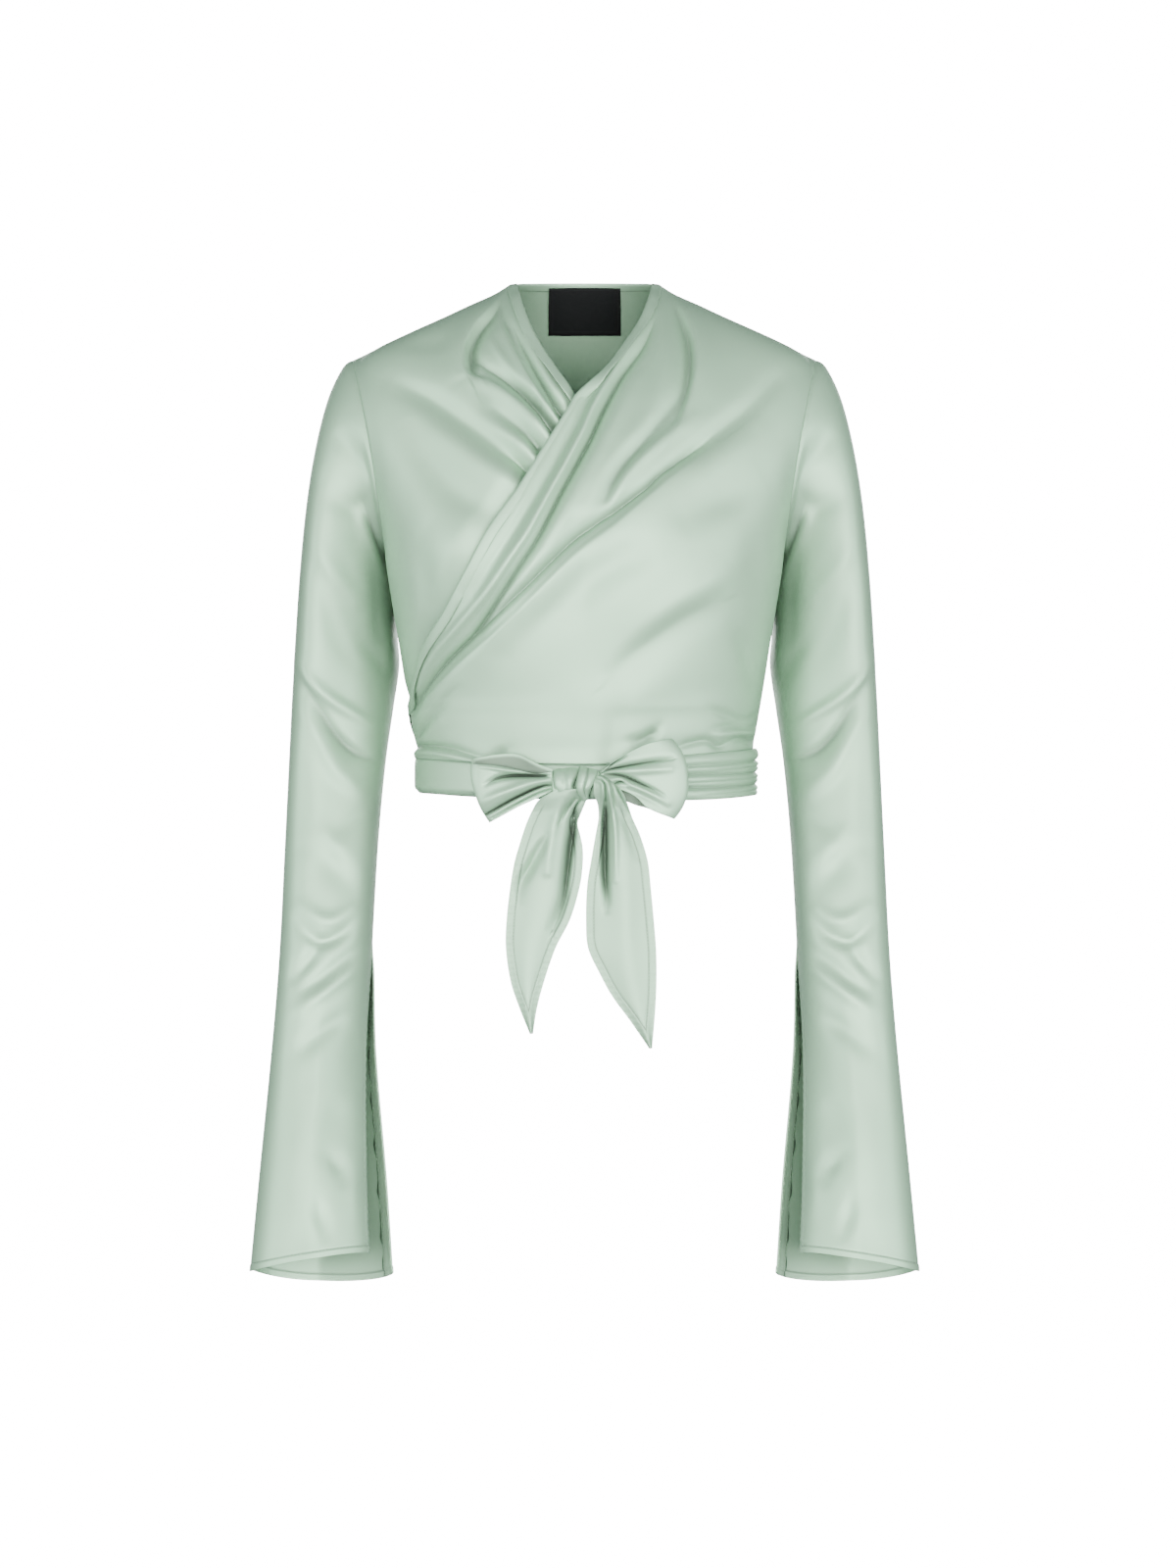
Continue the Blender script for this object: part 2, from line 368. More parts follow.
def armhole_c(z):
    """How high a point of the armhole is, from -1 at the underarm to 1 at the shoulder's tip."""
    return np.clip((z - (TIP_Z + UNDERARM_Z) / 2) / ((TIP_Z - UNDERARM_Z) / 2), -1, 1)


def armhole_x(c):
    return ARMHOLE_X + ARMHOLE_LEAN * c - ARMHOLE_BOW * (1 - c * c)


def armhole_share(z, depth):
    """How far out the armhole is in the section at height z, as a share of the section's half width."""
    c, square = armhole_c(z), DEPTH("square", z)
    cut = ARMHOLE_DEPTH * np.sqrt(np.maximum(1 - c * c, 0)) / depth
    return (1 - cut ** square) ** (1 / square)


def half_width(z, depth):
    """The half width that a section has when it is closed, also where the armhole cuts it."""
    plain = np.where(z < UNDERARM_Z, SIDE("half", z), SHOULDER("half", z))
    armed = armhole_x(armhole_c(z)) / armhole_share(z, depth)
    return np.where((z > UNDERARM_Z) & (z < TIP_Z), armed, plain)


def outer_angle(z, depth):
    """The angle at which a panel ends: at the armhole, or at the side or shoulder seam."""
    share = np.where((z > UNDERARM_Z) & (z < TIP_Z), armhole_share(z, depth), 1.0)
    return np.degrees(np.arcsin(np.clip(share, 0, 1)))


def body(angle, z):
    """The body's plain shape. Angle 0 is the front's middle, 90 the right side, 180 the back's middle."""
    turn = np.radians(angle)
    across, middle = np.sin(turn), np.cos(turn) ** 2
    is_front = np.cos(turn) >= -1e-9
    depth = np.where(is_front, DEPTH("front", z), DEPTH("back", z))
    square = DEPTH("square", z)
    y = depth * np.maximum(0, 1 - np.abs(across) ** square) ** (1 / square)
    neck = np.where(is_front, 0, NECK_RISE * y / depth * smooth(z, -40, NECK_Z))
    hem = np.where(is_front, HEM_DIP * middle * (1 - smooth(z, HEM_Z, -330)), 0)
    return np.stack([half_width(z, depth) * across, np.where(is_front, -y, y), z + neck - hem], -1)


def unit(v):
    return v / np.maximum(np.linalg.norm(v, axis=-1, keepdims=True), 1e-9)


def normals(points):
    """Outward directions of a grid of points whose columns go round to the viewer's right and rows go up."""
    return unit(np.cross(np.gradient(points, axis=1), np.gradient(points, axis=0)))


def relax(points, times):
    """Softens a grid and keeps its border."""
    points = points.copy()
    for _ in range(times):
        around = points[:-2, 1:-1] + points[2:, 1:-1] + points[1:-1, :-2] + points[1:-1, 2:]
        points[1:-1, 1:-1] = 0.5 * points[1:-1, 1:-1] + 0.125 * around
    return points


def moved(points, away):
    return points + normals(points) * np.asarray(away)[..., None]


def shares(columns, rows):
    return np.meshgrid(np.linspace(0, 1, columns + 1), np.linspace(0, 1, rows + 1))


def uneven(ends, middle, share_of_end, start=True):
    """Shares from 0 to 1 that lie closer together near one or both ends."""
    first = np.linspace(0, share_of_end, ends, endpoint=False) if start else np.zeros(0)
    last = np.linspace(1 - share_of_end, 1, ends + 1)
    inner = np.linspace(share_of_end if start else 0, 1 - share_of_end, middle, endpoint=False)
    return np.concatenate([first, inner, last])


def run_along(points):
    """How far each point of a grid lies from the first column, along its row."""
    steps = np.linalg.norm(np.diff(points, axis=1), axis=-1)
    return np.concatenate([np.zeros((len(points), 1)), np.cumsum(steps, axis=1)], axis=1)


def inset(points, distance):
    """The line that lies a distance in from a grid's first column."""
    rows = zip(run_along(points), points)
    return np.array([[np.interp(distance, run, row[:, k]) for k in range(3)] for run, row in rows])


def groove(distance, middle, width):
    """1 in the middle of a groove and 0 beside it."""
    return np.exp(-(((distance - middle) / width) ** 2))


def hem(distance, width):
    """The height of a turned hem, with the groove that its stitches pull, at a distance from the edge."""
    return 0.45 * (1 - smooth(distance, width, width + 0.9)) - 0.5 * groove(distance, width, 0.7)


def seam_shade(distance, width):
    return groove(distance, width, 0.65)


MATERIALS = {}


def shown(name, mesh, material):
    """The object of a mesh, in the scene."""
    obj = bpy.data.objects.new(name, mesh)
    bpy.context.scene.collection.objects.link(obj)
    mesh.materials.append(MATERIALS[material])
    return obj


def vertex_places(mesh):
    co = np.empty(len(mesh.vertices) * 3)
    mesh.vertices.foreach_get("co", co)
    return co.reshape(-1, 3)


def place_vertices(mesh, places):
    """Puts a mesh's vertices at places in millimetres and shades it smooth."""
    mesh.vertices.foreach_set("co", (places * MM).ravel())
    mesh.polygons.foreach_set("use_smooth", np.ones(len(mesh.polygons), bool))
    mesh.update()


def cloth(name, points, replaces=(), thick=CLOTH, material="satin", shade=None):
    """A shell of cloth on a grid of points. shade is how closed in each point lies, from 0 to 1."""
    rows, columns = points.shape[0] - 1, points.shape[1] - 1
    bm = bmesh.new()
    bm.loops.layers.uv.new("UVMap")
    bmesh.ops.create_grid(bm, x_segments=columns, y_segments=rows, size=1.0, calc_uvs=True)
    mesh = bpy.data.meshes.new(name)
    bm.to_mesh(mesh)
    bm.free()
    share = (vertex_places(mesh)[:, :2] + 1) / 2
    j, i = np.rint(share[:, 0] * columns).astype(int), np.rint(share[:, 1] * rows).astype(int)
    if shade is not None:
        closed_in = mesh.attributes.new("shade", "FLOAT", "POINT")
        closed_in.data.foreach_set("value", np.clip(shade, 0, 1)[i, j])
    place_vertices(mesh, points[i, j])
    obj = shown(name, mesh, material)
    shell = obj.modifiers.new("cloth", "SOLIDIFY")
    shell.thickness = thick * MM
    shell.offset = 0
    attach(obj, "root")
    if replaces:
        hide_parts(*replaces)


def row_of_beads(count, apart):
    """A bmesh with a row of small round beads along X, each of radius 1."""
    bm = bmesh.new()
    bmesh.ops.create_uvsphere(bm, u_segments=6, v_segments=4, radius=1.0)
    made = 1
    while made < count:
        copied = bmesh.ops.duplicate(bm, geom=bm.verts[:] + bm.edges[:] + bm.faces[:])["geom"]
        verts = [piece for piece in copied if isinstance(piece, bmesh.types.BMVert)]
        bmesh.ops.translate(bm, verts=verts, vec=(apart * made, 0, 0))
        made *= 2
    spare = [vert for vert in bm.verts if vert.co.x > (count - 0.5) * apart]
    bmesh.ops.delete(bm, geom=spare, context="VERTS")
    return bm


def stitches(name, path, outward, every=2.9, length=2.0, thick=0.42, slant=0.0, apart=10.0):
    """A row of stitches along a line of points, each lying along it or slanted to both sides by turns. They
    are beads from a straight row, each moved to its place."""
    steps = np.linalg.norm(np.diff(path, axis=0), axis=1)
    run = np.concatenate([[0], np.cumsum(steps)])
    at = np.arange(every / 2, run[-1], every)
    forward = np.gradient(path, axis=0)
    place = np.stack([np.interp(at, run, path[:, k]) for k in range(3)], 1)
    along = unit(np.stack([np.interp(at, run, forward[:, k]) for k in range(3)], 1))
    up = np.stack([np.interp(at, run, outward[:, k]) for k in range(3)], 1)
    up = unit(up - along * (up * along).sum(1, keepdims=True))
    across = np.cross(up, along)
    turn = np.radians(slant) * np.where(np.arange(len(at)) % 2, 1, -1)[:, None]
    turned = along * np.cos(turn) + across * np.sin(turn)
    across = across * np.cos(turn) - along * np.sin(turn)
    bm = row_of_beads(len(at), apart)
    mesh = bpy.data.meshes.new(name)
    bm.to_mesh(mesh)
    bm.free()
    co = vertex_places(mesh)
    which = np.rint(co[:, 0] / apart).astype(int)
    x, y, z = co[:, :1] - apart * which[:, None], co[:, 1:2], co[:, 2:]
    laid = across[which] * x * thick / 2 + up[which] * y * thick / 3 + turned[which] * z * length / 2
    place_vertices(mesh, place[which] + laid)
    obj = shown(name, mesh, "thread")
    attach(obj, "root")


class Value:
    """A shader's socket whose arithmetic adds Math nodes."""

    def __init__(self, shader, socket):
        self.shader, self.socket = shader, socket

    def combined(self, operation, *values):
        return self.shader.node("ShaderNodeMath", {"operation": operation}, dict(enumerate(values)))

    def __add__(self, other):
        return self.combined("ADD", self, other)

    def __mul__(self, other):
        return self.combined("MULTIPLY", self, other)

    __radd__ = __add__
    __rmul__ = __mul__


class Shader:
    """The nodes of one material."""

    def __init__(self, name):
        self.material = bpy.data.materials.new(name)
        self.material.use_nodes = True
        self.tree = self.material.node_tree
        self.surface = self.tree.nodes["Principled BSDF"]
        MATERIALS[name] = self.material

    def fill(self, node, values):
        for name, value in values.items():
            if isinstance(value, Value):
                self.tree.links.new(value.socket, node.inputs[name])
            else:
                node.inputs[name].default_value = value

    def node(self, kind, settings, values, out=0):
        made = self.tree.nodes.new(kind)
        for name, setting in settings.items():
            setattr(made, name, setting)
        self.fill(made, values)
        return Value(self, made.outputs[out])

    def noise(self, scale, detail=2.0):
        where = self.node("ShaderNodeTexCoord", {}, {}, "Object")
        values = {"Vector": where, "Scale": scale, "Detail": detail}
        return self.node("ShaderNodeTexNoise", {}, values, "Fac")

    def blend(self, share, a, b):
        return self.node("ShaderNodeMix", {"data_type": "RGBA"}, {0: share, 6: a, 7: b}, 2)

    def relief(self, height, strength, distance):
        values = {"Height": height, "Strength": strength, "Distance": distance}
        self.fill(self.surface, {"Normal": self.node("ShaderNodeBump", {}, values)})


def make_satin(name, light, dark, deep, roughness):
    s = Shader(name)
    cloudy, fine = s.noise(9.0), s.noise(900.0, 1.0)
    closed_in = s.node("ShaderNodeAttribute", {"attribute_name": "shade"}, {}, "Fac")
    colour = s.blend(closed_in, s.blend(cloudy, dark, light), deep)
    s.fill(s.surface, {"Base Color": colour, "Roughness": cloudy * 0.06 + roughness, "Metallic": 0.6,
                       "Specular IOR Level": 0.35})
    s.relief(s.noise(34.0, 1.0) + fine * 0.03, 0.3, 0.0016)


def make_label_cloth():
    s = Shader("label")
    black = {"Base Color": (0.006, 0.0065, 0.007, 1), "Roughness": 0.8, "Specular IOR Level": 0.12}
    s.fill(s.surface, black)
    s.relief(s.noise(2200.0), 0.3, 0.0003)


make_satin("satin", (0.318, 0.500, 0.350, 1), (0.292, 0.476, 0.332, 1), (0.075, 0.105, 0.08, 1), 0.54)
make_satin("thread", (0.36, 0.53, 0.40, 1), (0.34, 0.51, 0.38, 1), (0.1, 0.2, 0.12, 1), 0.6)
make_label_cloth()


# Body panels
def clear_of_seam(angle, z):
    """1 over a front, and 0 at its armhole or side seam and at the neck."""
    end = outer_angle(z, DEPTH("front", z))
    return (1 - smooth(np.abs(angle) / end, 0.86, 1)) * (1 - smooth(z, -20, NECK_Z))


def bust(x, z, rise=9, across=74, up=-222, spread=52):
    return rise * np.exp(-((np.abs(x) - across) ** 2 + (z - up) ** 2) / (2 * spread ** 2))


def side_tuck(angle, z):
    """How the body draws in at its sides, above the waistband."""
    from_side = np.abs(np.where(angle > 180, angle - 270, angle + 90))
    return -SIDE_TUCK * smooth(-z, 312, 342) * (1 - smooth(from_side, 24, 44))


def over_angle(u, z):
    """The angle at a share of the over front's width, from its free edge to its armhole or side seam."""
    wrapped = -90 - WRAP_PAST * smooth(-z, -WRAP_SIDE_Z, -HEM_Z)
    seen = np.degrees(np.arcsin(np.clip(EDGES("over", z) / half_width(z, DEPTH("front", z)), -1, 1)))
    return mix(np.where(z < WRAP_SIDE_Z, wrapped, seen), outer_angle(z, DEPTH("front", z)), u)


def under_angle(u, z):
    """The angle at a share of the under front's width, from its armhole or side seam to its free edge."""
    x = np.where(z < WRAP_SIDE_Z, 141, EDGES("under", z))
    edge = np.degrees(np.arcsin(np.minimum(0.985, x / half_width(z, DEPTH("front", z)))))
    return mix(-outer_angle(z, DEPTH("front", z)), edge, u)


def over_lift(angle, z):
    """How far the over front stands off where it covers the under one."""
    covering = 1 - smooth(angle, 5, 60)
    at_side = mix(1, 0.08, smooth(-angle, 50, 88))
    return OVER_LIFT * covering * at_side * smooth(-z, 30, -CROSS_Z + 5)


def under_lift(angle, x, z):
    """How far the under front dips where the over one covers it, and at the side."""
    past = np.where(z < WRAP_SIDE_Z, x + 152, x - EDGES("over", z))
    dip = -UNDER_DIP * smooth(past, -24, 12) * smooth(-z, 50, -CROSS_Z + 5)
    return mix(dip, side_tuck(-90.0, z), smooth(-angle, 66, 90))


def seam_dip(share, width):
    """How cloth turns in over the last of its width, at a seam."""
    return -SEAM_TURN * (1 - smooth(share, 0, width))


def sewn(points, column, y):
    """A panel whose column on the shoulder seam ends at a given y, so that the seam is closed."""
    above = points[:, column, 2] > TIP_Z + 2
    points[above, column, 1] = y
    return points


def softened_body(angle, z, rounds=70):
    return relax(body(angle, z), rounds)


def panel_heights(low_rows, rows):
    """The heights of a panel's rows, closer together in the lowest eighth."""
    low = np.linspace(0, 0.125, low_rows, endpoint=False)
    return mix(HEM_Z, NECK_Z, np.concatenate([low, np.linspace(0.125, 1, rows + 1)]))


def front_grid(angle_at, folds, columns, low_rows, rows, finer=4):
    """The shares and heights of a front's grid, whose columns crowd at its folds."""
    u, z = np.meshgrid(np.linspace(0, 1, finer * columns + 1), panel_heights(low_rows, rows))
    return crowded(body(angle_at(u, z), z)[..., 0], z, folds, columns), z[:, : columns + 1]


def over_panel():
    u, z = front_grid(over_angle, OVER_FOLDS, 200, 40, 180)
    angle = over_angle(u, z)
    plain = softened_body(angle, z)
    x = plain[..., 0]
    clear = clear_of_seam(angle, z)
    base = relax(moved(plain, over_lift(angle, z) + bust(x, z) * clear), 4)
    folds = fold_height(OVER_FOLDS, x, z) * np.where(angle < -70, 1 - 0.7 * smooth(-angle, 70, 100), clear)
    points = moved(base, folds + seam_dip(1 - u, 0.012))
    return sewn(points, -1, SEAM_Y), OVER_SHADE * crease_shade(OVER_FOLDS, x, z)


def under_panel():
    u, z = front_grid(under_angle, UNDER_FOLDS, 170, 32, 170)
    angle = under_angle(u, z)
    plain = softened_body(angle, z)
    x = plain[..., 0]
    clear = clear_of_seam(angle, z)
    covered = np.where(z < WRAP_SIDE_Z, 1, smooth(x - EDGES("over", z), 2, 22) * smooth(-z, 50, 95))
    base = relax(moved(plain, under_lift(angle, x, z) + bust(x, z) * clear), 4)
    folds = fold_height(UNDER_FOLDS, x, z) * clear * (1 - covered)
    points = moved(base, folds + seam_dip(u, 0.014))
    return sewn(points, 0, SEAM_Y), UNDER_SHADE * crease_shade(UNDER_FOLDS, x, z) * (1 - covered)


def back_panel():
    u, z = np.meshgrid(np.linspace(0, 1, 181), panel_heights(30, 140))
    end = outer_angle(z, DEPTH("back", z))
    angle = mix(180 - end, 180 + end, u)
    plain = softened_body(angle, z)
    clear = 1 - smooth(np.abs(angle - 180), 60, 80)
    folds = fold_height(BACK_FOLDS, plain[..., 0], plain[..., 2]) * clear
    points = moved(plain, folds + side_tuck(angle, z) + seam_dip(np.minimum(u, 1 - u), 0.01))
    return sewn(sewn(points, 0, -SEAM_Y), -1, -SEAM_Y)


over, over_shade = over_panel()
under, under_shade = under_panel()
back = back_panel()
cloth("front_over_satin", over, ["front_over"], shade=over_shade)
cloth("front_under_satin", under, ["front_under"], shade=under_shade)
cloth("back_panel_satin", back, ["back_panel"])


# Sleeves
def turn_away(turn):
    """1 on the half of the sleeve's section that has the slit, and 0 on its outside."""
    return smooth(-np.cos(turn), -0.02, 0.02)


def sleeve_surface(u, s):
    """u runs from the slit's front edge over the front, the outside and the back to its other edge."""
    turn = np.pi * (1 - 2 * u)
    is_front = turn > 0
    outside = (1 + np.cos(turn)) / 2
    sine = np.sin(turn)
    flared = np.where(is_front, 1.55, 1.3)
    lower_square = mix(3.2, flared, smooth(s, 0.58, 0.8) * turn_away(turn))
    square = mix(2, lower_square, smooth(s, 0.02, 0.22))
    flat = np.sign(sine) * np.maximum(1 - np.abs(np.cos(turn)) ** square, 0) ** (1 / square)
    at_slit = (1 - outside) ** 3
    bow = ARMHOLE_BOW * sine ** 2 * (1 - smooth(s, 0, 0.05))
    apart = (SLIT("apart", s) + 0.15) * at_slit
    lower = SLIT("dip", s) * np.abs(sine) + SLIT("drop", s) * (1 - outside)
    depth = np.where(is_front, SLEEVE("front", s), SLEEVE("back", s))
    moved_out = np.where(is_front, 0, SLIT("out", s) * at_slit)
    x = mix(SLEEVE("xi", s), SLEEVE("xo", s), outside) - bow - moved_out
    y = mix(SLEEVE("yi", s), SLEEVE("yo", s), outside) - depth * flat + np.where(is_front, -apart, apart)
    z = mix(SLEEVE("zi", s), SLEEVE("zo", s), outside) + np.where(is_front, SLIT("rise", s) * sine, -lower)
    return np.stack([x, y, z], -1)


SLEEVE_ROWS = uneven(26, 250, 0.016, start=False)


def sleeve_points():
    """The wearer's left sleeve, from the slit's front edge round to its back edge."""
    u, s = np.meshgrid(uneven(12, 104, 0.04), SLEEVE_ROWS)
    plain = sleeve_surface(u, s)
    turn = np.pi * (1 - 2 * u)
    x, z = plain[..., 0], plain[..., 2]
    height = fold_height(SLEEVE_FOLDS, x, z) * np.where(turn > 0, 1, 0.6) * smooth(s, 0.0, 0.03)
    tucked = smooth(s, 0, 0.012)
    opened = smooth(s, SLIT_START, 0.7)
    edge = np.minimum(run_along(plain), run_along(plain[:, ::-1])[:, ::-1])
    puckers = 0.22 * np.sin(z * 1.15) * (1 - smooth(edge, 6, 11)) * (turn > 0)
    rim = hem((1 - s) * SLEEVE_LENGTH, SLEEVE_HEM) + (hem(edge, SLIT_HEM) + puckers) * opened
    outward = np.stack([np.cos(turn), -np.sin(turn), np.zeros_like(turn)], -1)
    away = height * np.abs(np.sin(turn)) - SLEEVE_TUCK * (1 - tucked) + rim
    points = plain + outward * away[..., None]
    points[..., 0] -= SLEEVE_INTO_BODY * (1 - tucked)
    sewn_line = seam_shade((1 - s) * SLEEVE_LENGTH, SLEEVE_HEM) + seam_shade(edge, SLIT_HEM) * opened
    by_body = smooth(z, -370, -250) * (1 - smooth(z, -190, -140)) * (0.14 + 0.4 * smooth(x, 188, 162))
    in_front = SLEEVE_SHADE * crease_shade(SLEEVE_FOLDS, x, z, 1.0, 7.0) + by_body
    behind = 0.1 * opened * (1 - smooth(edge, 15, 45)) + 0.08 * smooth(s, 0.9, 0.96)
    return points, np.where(turn > 0, in_front, behind) + 0.5 * sewn_line


def slit_facing(wearer, back_half, inward, flip):
    """The turned band inside the slit's back edge, with its overlocked edge."""
    steps = [(0.2, 0.3), (0.5, 0.95), (2.0, 1.1), (5.5, 1.1), (9.0, 1.15), (10.2, 1.3)]
    darker = [0, 0.03, 0.06, 0.1, 0.5, 0.9]
    wave = 0.6 * np.sin(back_half[:, 0, 2] / 5.3) + 0.5 * np.sin(back_half[:, 0, 2] / 2.9 + 1)
    band = np.stack([inset(back_half, a) + inward * b for a, b in steps], 1)
    band[:, -1] += (band[:, -1] - band[:, -2]) * wave[:, None]
    shade = np.tile(darker, (len(band), 1))
    cloth(f"slit_facing_{wearer}", band[:, flip], thick=FACING_CLOTH, shade=shade[:, flip])
    stitches(f"overlock_{wearer}", band[:, -2] + inward * 0.35, inward, 1.5, 3.2, 0.5, 58)
    stitches(f"slit_back_stitches_{wearer}", band[:, -4] + inward * 0.3, inward)


def sleeve(wearer, side, points, shade):
    """A sleeve, from the points of the wearer's left one. side is -1 for its mirror image."""
    whole = points * [side, 1, 1]
    flip = slice(None, None, side)
    bottom_up = whole[::-1]
    replaced = [f"sleeve_wearer_{wearer}"]
    cloth(f"sleeve_{wearer}_satin", bottom_up[:, flip], replaced, shade=shade[::-1, flip])
    out = (normals(bottom_up) * side)[::-1]
    is_open = SLEEVE_ROWS > SLIT_TOP
    slit_facing(wearer, whole[is_open][:, ::-1], -out[is_open][:, -1], flip)
    front_out = out[is_open][:, 4]
    stitches(f"slit_front_stitches_{wearer}", inset(whole[is_open], SLIT_HEM) + front_out * 0.35, front_out)
    hem_line = inset(bottom_up.swapaxes(0, 1), SLEEVE_HEM)
    stitches(f"hem_stitches_{wearer}", hem_line + out[-8] * 0.35, out[-8])


left_sleeve, sleeve_shade = sleeve_points()
sleeve("right", -1, left_sleeve, sleeve_shade)
sleeve("left", 1, left_sleeve, sleeve_shade)


# Bindings, folded over the free edges of the fronts and over the back neck
def binding(name, edge, n, inner, full, width=BINDING):
    """A folded strip over an edge, with the outward directions there and the directions into the panel. full
    is how far each ring stands off, from 0 to 1."""
    steps = [(width, 0.95), (width * 0.9, 1.25), (width * 0.5, 1.3), (1.2, 1.3), (0.1, 1.1), (-0.7, 0.5),
             (-0.9, -0.2), (-0.5, -0.9), (0.4, -1.2), (width * 0.7, -1.2), (width * 0.78, -1.15),
             (width * 0.86, -1.1)]
    rings = [edge + inner * a + n * b * full[:, None] for a, b in steps]
    shade = np.tile([0.4] + [0.0] * (len(steps) - 2) + [1.0], (len(edge), 1))
    cloth(f"binding_{name}_satin", np.stack(rings, 1), [f"binding_{name}"], BINDING_CLOTH, shade=shade)


def edge_strip(points, column, column_in):
    """A grid's column, the outward directions there, and the directions into the panel, square to it."""
    edge = points[:, column]
    rough = normals(points)[:, column_in]
    along = unit(np.gradient(edge, axis=0))
    across = unit(np.cross(rough, along))
    towards = points[:, column_in] - edge
    across *= np.sign((across * towards).sum(-1, keepdims=True))
    n = unit(np.cross(along, across))
    n *= np.sign((n * rough).sum(-1, keepdims=True))
    return edge, n, across


def front_binding(name, strip):
    edge, n, inner = strip
    binding(name, edge, n, inner, 1 - 0.95 * smooth(edge[:, 2], -6, 6))


def binding_stitches(name, strip, seam_z):
    """The stitches along a front's binding, above the height seam_z."""
    edge, n, inner = strip
    seen = edge[:, 2] > seam_z
    seam = edge + inner * (BINDING - 1.3) + n * 1.75
    stitches(f"binding_{name}_stitches", seam[seen], n[seen])


over_strip, under_strip = edge_strip(over, 0, 6), edge_strip(under, -1, -7)
front_binding("over", over_strip)
front_binding("under", under_strip)
binding_stitches("over", over_strip, WRAP_SIDE_Z)
binding_stitches("under", under_strip, CROSS_Z - 6)
back_full = 1 - 0.9 * smooth(np.abs(back[-1, :, 0]), 50, 60)
binding("back", back[-1], normals(back)[-4], unit(back[-6] - back[-1]), back_full)


# The blank label
def neck_label():
    u, v = shares(30, 20)
    z = mix(LABEL_LOW, LABEL_TOP, v)
    end = np.degrees(np.arcsin(LABEL_HALF / half_width(z, DEPTH("back", z))))
    points = moved(body(180 + end * (2 * u - 1), z), -2.6 - 0.5 * np.sin(np.pi * v))
    cloth("neck_label_satin", points, ["neck_label"], thick=0.5, material="label")


neck_label()


def outward_of(ring):
    """Level outward directions of a ring of points that runs to the viewer's right in front."""
    return unit(normals(np.stack([ring, ring + [0, 0, 5]]))[0] * [1, 1, 0])


# Waistbands
def waistband(name, edge_points):
    """A flat strip under a panel's hem, along the points of that hem."""
    v = np.linspace(0, 1, 17)[:, None]
    outward = outward_of(edge_points)
    puff = 0.9 * (1 - (2 * v - 1) ** 6) - 0.5 - 3.2 * (1 - smooth(v, 0, 0.22)) ** 2
    points = edge_points[None] + outward[None] * puff[..., None]
    points[..., 2] = edge_points[None, :, 2] - BAND_HEIGHT * (1 - v) - 0.3
    cloth(f"waistband_{name}_satin", points, [f"waistband_{name}"], thick=BAND_CLOTH)


waistband("over", over[0])
waistband("under", under[0])
waistband("back", back[0])

# The gathered tie, its folds in degrees round the waist and millimetres above its lower edge
SASH_FOLDS = [
    (2.2, 3.4, 0.6, ((4, 5, -1), (20, 7.5, -2.6), (36, 9.6, -3.2), (60, 9, -3), (90, 8.6, -3.2),
        (140, 10.5, -2.8), (190, 8.5, -2.8), (240, 8, -2))),
    (2.0, 2.6, 0.6, ((4, 9, -1), (20, 15.5, -2.4), (36, 20.3, -3), (60, 19.4, -2.8), (90, 18.2, -3.4),
        (140, 20, -2.8), (190, 17, -2.8), (240, 15, -2))),
    (1.6, 2.4, 0.5, ((4, 12, -1), (20, 21, -1.8), (36, 27, -2.2), (60, 27.6, -2.4), (90, 28, -3.2),
        (140, 28.5, -2.6), (190, 26, -2.6), (240, 21, -2))),
    (1.2, 1.4, 0.4, ((50, 22.6, -0.6), (70, 23, -1.6), (100, 23.4, -1.4), (120, 24, -0.5))),
    (1.2, 1.4, 0.4, ((44, 3.4, -0.4), (72, 4, -1.4), (100, 3.6, -1.4), (150, 4, -0.6))),
    (1.2, 1.4, 0.3, ((30, 13.4, -0.4), (56, 14, -1.2), (96, 13.6, -1.2), (150, 14, -0.6))),
]


def tie_sash():
    """The tie from the bow round the right side and the back to the over front's waistband."""
    u, v = shares(420, 60)
    angle = mix(SASH.rows[0, 0], SASH.rows[-1, 0], u)
    half = SASH("half", angle)
    from_front = np.maximum(np.where(angle > 180, angle - 360, angle), -90)
    under_it = np.where((angle > 90) & (angle < 240), 0, over_lift(from_front, HEM_Z))
    under_it = np.maximum(under_it, 2.2 * smooth(angle, 200, 235))
    up = 2 * half * v
    edge_roll = -2.4 * np.abs(2 * v - 1) ** 6
    gathered = under_it + 5.2 + fold_height(SASH_FOLDS, angle, up) + edge_roll
    stands_off = mix(gathered, 2.0, smooth(angle, 241, 247))
    ring = body(angle[0], np.full(len(angle[0]), HEM_Z))
    points = ring + outward_of(ring) * stands_off[..., None]
    points[..., 2] = SASH("z", angle) + half * (2 * v - 1)
    shade = SASH_SHADE * crease_shade(SASH_FOLDS, angle, up, 0.8, 4.5)
    cloth("tie_sash_satin", points, ["tie_sash"], shade=shade)


tie_sash()

# The bow's loops: the low and top edges from the knot to the end, in the front layer and in the back layer
LOOP = "a xlow zlow zunder xtop ztop xback zback"
RIGHT_LOOP = Table(LOOP, [
    (0.0, 13, -403, -405, 12, -391, 12, -391), (0.2, 25, -403.4, -410, 24, -381.5, 24, -382),
    (0.45, 40, -409.6, -416.6, 42, -371.5, 42, -372), (0.62, 50, -419, -419.4, 52, -367.4, 52, -367.6),
    (1.0, 71, -427.7, -427.7, 69, -364, 69, -364)])
LEFT_LOOP = Table(LOOP, [
    (0.0, -25, -405, -405, -25, -390, -25, -388.6), (0.2, -38, -411.5, -411.5, -38, -392, -38, -383.6),
    (0.45, -51, -417.5, -417.5, -53, -389, -53, -376.6), (0.7, -63, -424, -424, -71, -385.5, -70, -376.6),
    (1.0, -75, -430.5, -430.5, -90, -384, -89, -380)])
